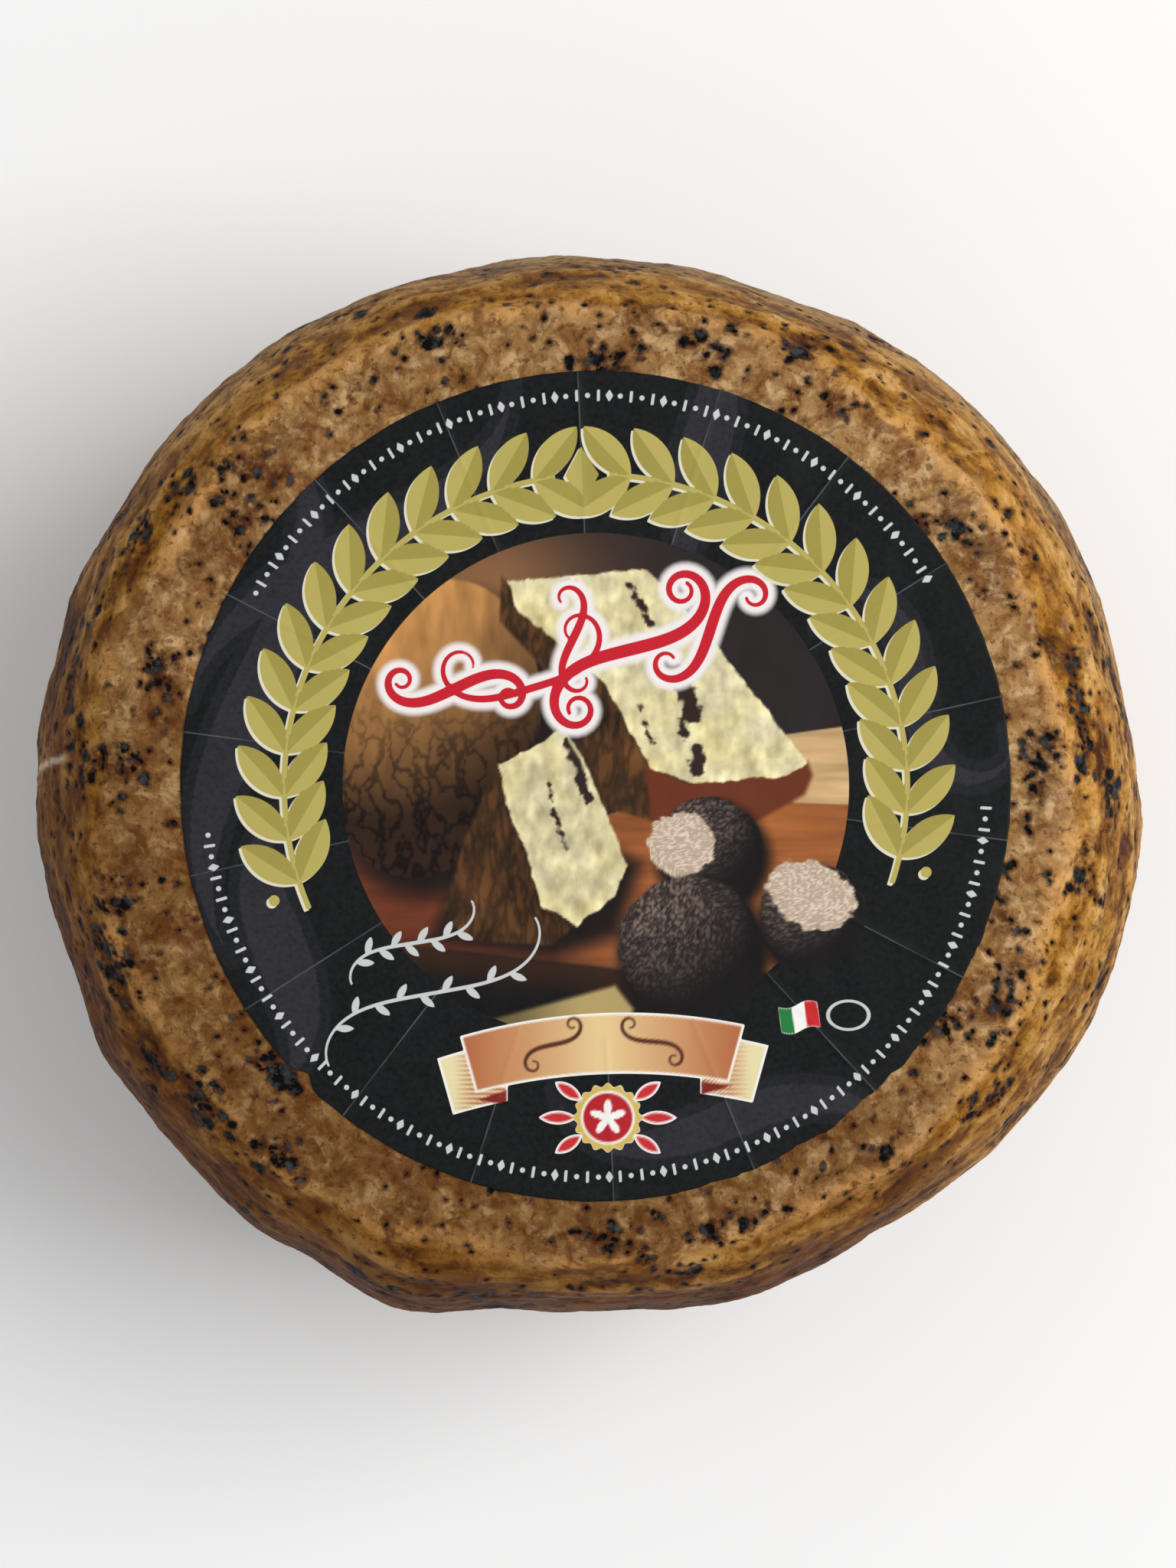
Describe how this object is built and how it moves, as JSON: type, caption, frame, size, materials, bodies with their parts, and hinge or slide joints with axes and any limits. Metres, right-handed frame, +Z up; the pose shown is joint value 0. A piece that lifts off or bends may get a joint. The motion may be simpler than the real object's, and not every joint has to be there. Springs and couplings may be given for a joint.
{
  "type": "cheese wheel",
  "caption": "Whole ripened cheese wheel with a rough ochre rind, dark truffle specks and a round black paper label on its top face.",
  "frame": {"origin": "middle of the wheel's box, on the surface it rests on", "axes": "+Z up out of the labelled face, +X along the wheel's longest way across, +Y towards the top of the label's artwork"},
  "size_m": [0.212, 0.203, 0.1353],
  "materials": {
    "rind": "satin",
    "label_paper": "satin"
  },
  "bodies": {
    "root": {"cheese_wheel": "rind", "paper_label": "label_paper"}
  },
  "joints": []
}
